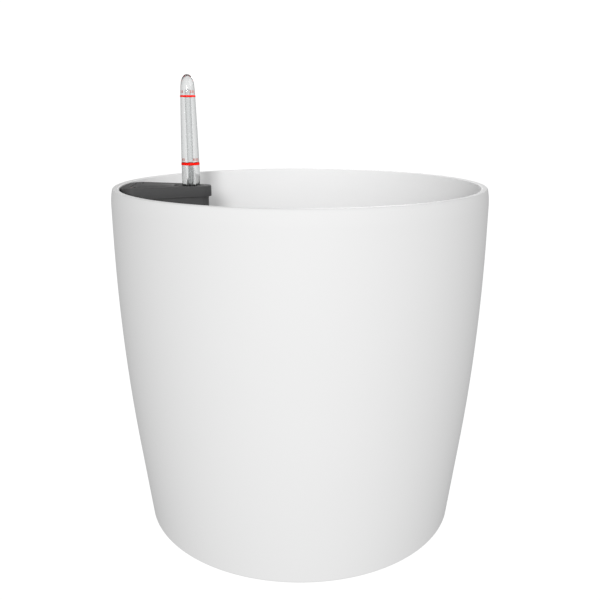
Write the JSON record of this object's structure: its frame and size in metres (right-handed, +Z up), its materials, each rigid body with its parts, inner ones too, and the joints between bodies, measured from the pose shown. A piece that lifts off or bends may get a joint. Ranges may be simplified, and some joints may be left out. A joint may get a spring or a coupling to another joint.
{
  "type": "self watering planter",
  "caption": "Round tapered plant pot with an inner water reservoir, a wedge-shaped filling shaft at the rim and a clear float level indicator.",
  "frame": {"origin": "on the pot's axis, at the plane that the foot ring rests on", "axes": "+Z up along the pot's axis; the filling shaft and the level indicator are on -X"},
  "size_m": [0.28, 0.28, 0.341],
  "materials": {
    "white_shell": "satin white",
    "dark_plastic": "fine-grained slate grey",
    "grey_plastic": "matt mid grey",
    "light_plastic": "matt off-white",
    "clear_plastic": "polished clear plastic",
    "red_mark": "glossy red",
    "black_rubber": "matt black",
    "steel": "drawn steel"
  },
  "bodies": {
    "root": {"planter_shell": "white_shell"},
    "drain_ring": {"drain_seal": "black_rubber"},
    "drain_screw": {"drain_plug": "dark_plastic"},
    "insert": {"separator_plate": "grey_plastic", "separator_leg_1": "grey_plastic", "separator_leg_2": "grey_plastic", "separator_leg_3": "grey_plastic", "separator_leg_4": "grey_plastic", "separator_leg_5": "grey_plastic", "separator_leg_6": "grey_plastic", "root_cup_1": "grey_plastic", "root_cup_2": "grey_plastic", "root_cup_3": "grey_plastic", "root_cup_4": "grey_plastic", "root_cup_5": "grey_plastic", "supply_shaft": "dark_plastic"},
    "lid": {"shaft_lid": "dark_plastic", "flap_pin": "steel"},
    "flap": {"filler_flap": "dark_plastic"},
    "indicator": {"sight_tube": "clear_plastic", "max_ring": "red_mark", "min_ring": "red_mark", "float_cage": "light_plastic", "cage_foot": "light_plastic"},
    "float": {"float_body": "light_plastic", "float_cap": "light_plastic", "float_rod": "clear_plastic", "rod_tip": "red_mark"}
  },
  "joints": [
    {"name": "seal_lift", "type": "slide", "parent": "root", "child": "drain_ring", "axis": [0, 0, 1], "range_m": [0, 0.006]},
    {"name": "plug_turn", "type": "hinge", "parent": "drain_ring", "child": "drain_screw", "pos_m": [0, 0, 0.01], "axis": [0, 0, 1], "range_deg": [0, 720]},
    {"name": "insert_lift", "type": "slide", "parent": "root", "child": "insert", "axis": [0, 0, 1], "range_m": [0, 0.26]},
    {"name": "lid_lift", "type": "slide", "parent": "insert", "child": "lid", "axis": [0, 0, 1], "range_m": [0, 0.09]},
    {"name": "flap_open", "type": "hinge", "parent": "lid", "child": "flap", "pos_m": [-0.1245, 0, 0.2582], "axis": [0, -1, 0], "range_deg": [0, 95]},
    {"name": "indicator_lift", "type": "slide", "parent": "insert", "child": "indicator", "axis": [0, 0, 1], "range_m": [0, 0.28]},
    {"name": "float_rise", "type": "slide", "parent": "indicator", "child": "float", "axis": [0, 0, 1], "range_m": [0, 0.0488]}
  ],
  "couplings": [
    {"joint": "seal_lift", "follows": "plug_turn", "m_per_rad": 0.00047746}
  ]
}
